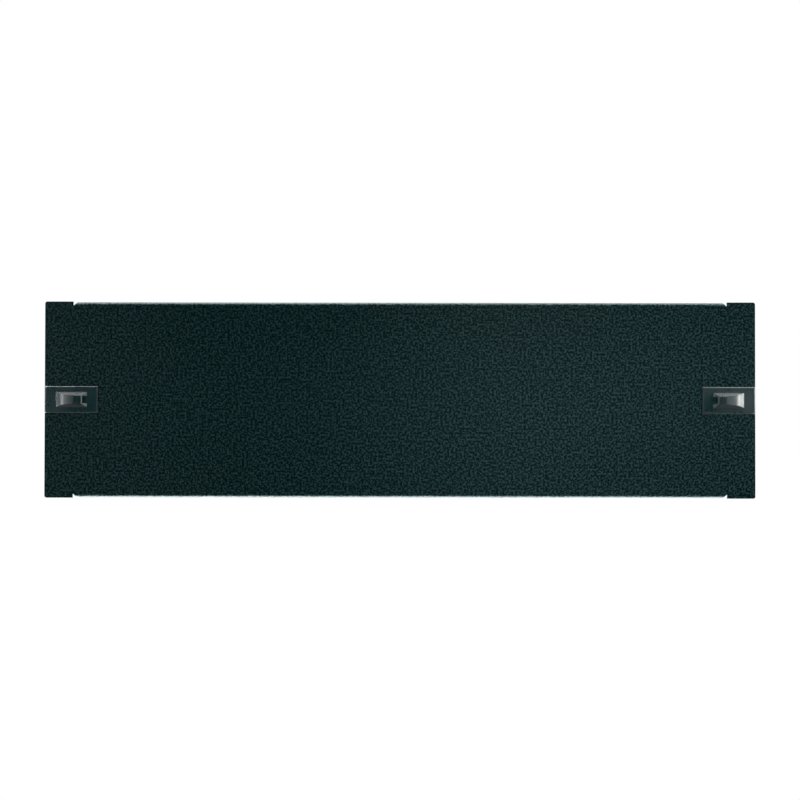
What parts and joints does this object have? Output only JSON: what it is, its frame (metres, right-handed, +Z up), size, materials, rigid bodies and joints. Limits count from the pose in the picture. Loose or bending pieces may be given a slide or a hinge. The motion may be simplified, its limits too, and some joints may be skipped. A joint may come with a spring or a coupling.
{
  "type": "rack blanking panel",
  "caption": "Folded steel blanking panel for a 19-inch rack, with a sprung slide latch at each end that hooks behind the rail.",
  "frame": {"origin": "centre of the flat rear face of the ears, which seats on the rack's rails", "axes": "+X along the panel's width to the right as seen from the front, +Z up, front faces -Y"},
  "size_m": [0.4826, 0.0175, 0.1334],
  "materials": {
    "powder_coat": "fine textured powder coat, satin",
    "latch_plastic": "moulded, semi-gloss",
    "spring_wire": "drawn wire"
  },
  "bodies": {
    "panel": {"front_panel": "powder_coat", "left_spring": "spring_wire", "right_spring": "spring_wire"},
    "left_slider": {"left_latch": "latch_plastic"},
    "right_slider": {"right_latch": "latch_plastic"}
  },
  "joints": [
    {"name": "left_latch_slide", "type": "slide", "parent": "panel", "child": "left_slider", "axis": [1, 0, 0], "range_m": [0, 0.0033], "stiffness_N_per_m": 1700, "springref_m": -0.0015, "deforming": ["left_spring"]},
    {"name": "right_latch_slide", "type": "slide", "parent": "panel", "child": "right_slider", "axis": [-1, 0, 0], "range_m": [0, 0.0033], "stiffness_N_per_m": 1700, "springref_m": -0.0015, "deforming": ["right_spring"]}
  ]
}
